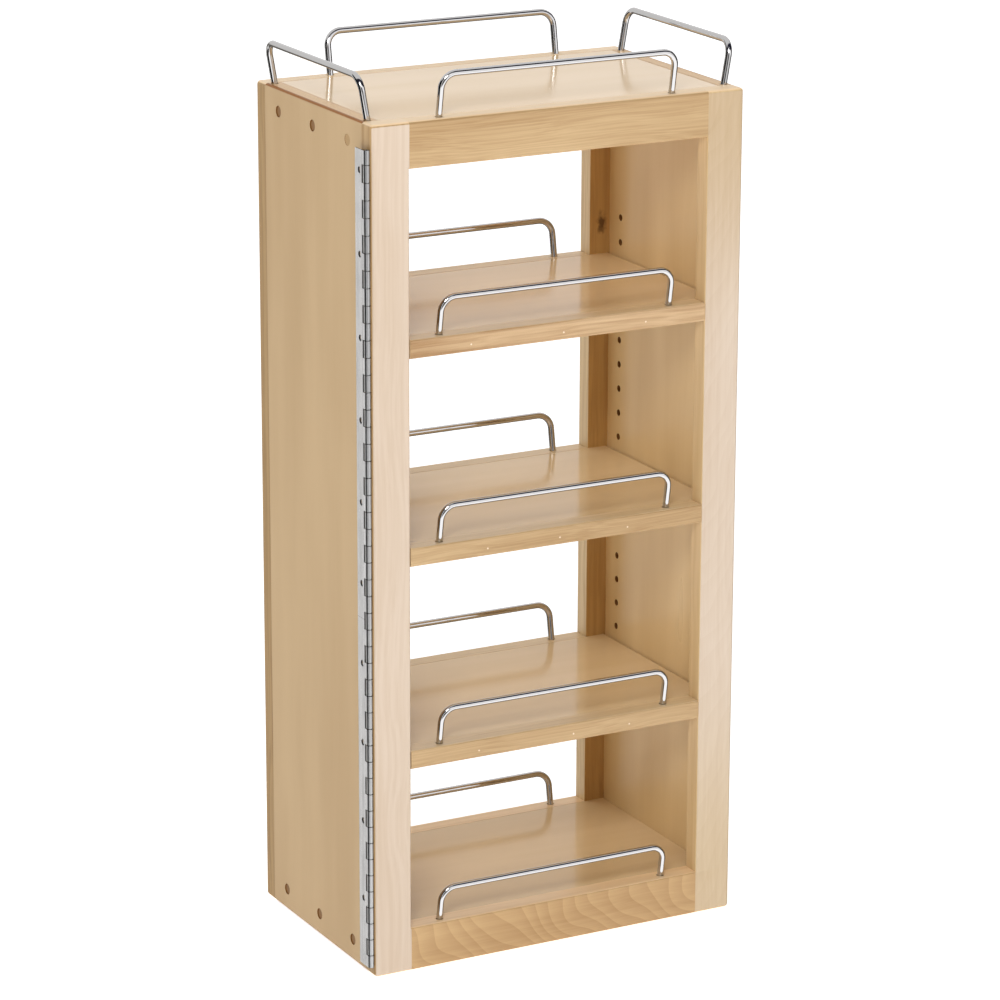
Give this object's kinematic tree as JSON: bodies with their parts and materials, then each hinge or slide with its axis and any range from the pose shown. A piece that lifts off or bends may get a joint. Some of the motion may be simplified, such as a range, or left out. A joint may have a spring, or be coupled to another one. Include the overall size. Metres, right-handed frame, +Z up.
{
  "type": "swing-out pantry unit",
  "caption": "Open wooden pantry rack with lift-off shelves on clips, wire gallery rails and a continuous hinge down its left side, to swing out of a cabinet.",
  "frame": {"origin": "middle of the bounding box's footprint, on the floor plane under the carcass", "axes": "+X to the right for someone facing the open front, with the hinge on the left; +Y towards the back; +Z up"},
  "size_m": [0.3116, 0.1916, 0.677],
  "materials": {
    "solid_wood": "clear satin lacquer over pale hardwood",
    "plywood": "clear semi-gloss lacquer over plywood",
    "plug_wood": "darker end grain, clear lacquer",
    "chrome": "polished chrome plating",
    "zinc": "satin zinc or nickel plated steel"
  },
  "bodies": {
    "carcass": {"side_panel_left": "plywood", "side_panel_right": "plywood", "front_stile_left": "solid_wood", "front_stile_right": "solid_wood", "back_stile_left": "solid_wood", "back_stile_right": "solid_wood", "front_top_rail": "solid_wood", "front_bottom_rail": "solid_wood", "back_top_rail": "solid_wood", "back_bottom_rail": "solid_wood", "top_deck": "plywood", "bottom_deck": "plywood", "top_cleat_left": "solid_wood", "top_cleat_right": "solid_wood", "bottom_cleat_left": "solid_wood", "bottom_cleat_right": "solid_wood", "bottom_front_wire": "chrome", "bottom_back_wire": "chrome", "top_front_wire": "chrome", "top_back_wire": "chrome", "top_left_wire": "chrome", "top_right_wire": "chrome", "wood_plug_bottom_front": "plug_wood", "wood_plug_bottom_middle": "plug_wood", "wood_plug_bottom_back": "plug_wood", "wood_plug_top_front": "plug_wood", "wood_plug_top_middle": "plug_wood", "wood_plug_top_back": "plug_wood", "shelf_clip_lower_left_front": "zinc", "shelf_clip_lower_left_back": "zinc", "shelf_clip_lower_right_front": "zinc", "shelf_clip_lower_right_back": "zinc", "shelf_clip_middle_left_front": "zinc", "shelf_clip_middle_left_back": "zinc", "shelf_clip_middle_right_front": "zinc", "shelf_clip_middle_right_back": "zinc", "shelf_clip_upper_left_front": "zinc", "shelf_clip_upper_left_back": "zinc", "shelf_clip_upper_right_front": "zinc", "shelf_clip_upper_right_back": "zinc", "hinge_fixed_leaf": "zinc", "hinge_pin": "zinc"},
    "hinge_leaf": {"hinge_free_leaf": "zinc"},
    "lower_shelf": {"lower_shelf_deck": "plywood", "lower_shelf_front_lip": "solid_wood", "lower_shelf_front_wire": "chrome", "lower_shelf_back_lip": "solid_wood", "lower_shelf_back_wire": "chrome"},
    "middle_shelf": {"middle_shelf_deck": "plywood", "middle_shelf_front_lip": "solid_wood", "middle_shelf_front_wire": "chrome", "middle_shelf_back_lip": "solid_wood", "middle_shelf_back_wire": "chrome"},
    "upper_shelf": {"upper_shelf_deck": "plywood", "upper_shelf_front_lip": "solid_wood", "upper_shelf_front_wire": "chrome", "upper_shelf_back_lip": "solid_wood", "upper_shelf_back_wire": "chrome"}
  },
  "joints": [
    {"name": "continuous_hinge", "type": "hinge", "parent": "carcass", "child": "hinge_leaf", "pos_m": [-0.15343, -0.09285, 0.317], "axis": [0, 0, 1], "range_deg": [0, 180]},
    {"name": "lower_shelf_lift", "type": "slide", "parent": "carcass", "child": "lower_shelf", "axis": [0, 0, 1], "range_m": [0, 0.078]},
    {"name": "middle_shelf_lift", "type": "slide", "parent": "carcass", "child": "middle_shelf", "axis": [0, 0, 1], "range_m": [0, 0.078]},
    {"name": "upper_shelf_lift", "type": "slide", "parent": "carcass", "child": "upper_shelf", "axis": [0, 0, 1], "range_m": [0, 0.078]}
  ]
}
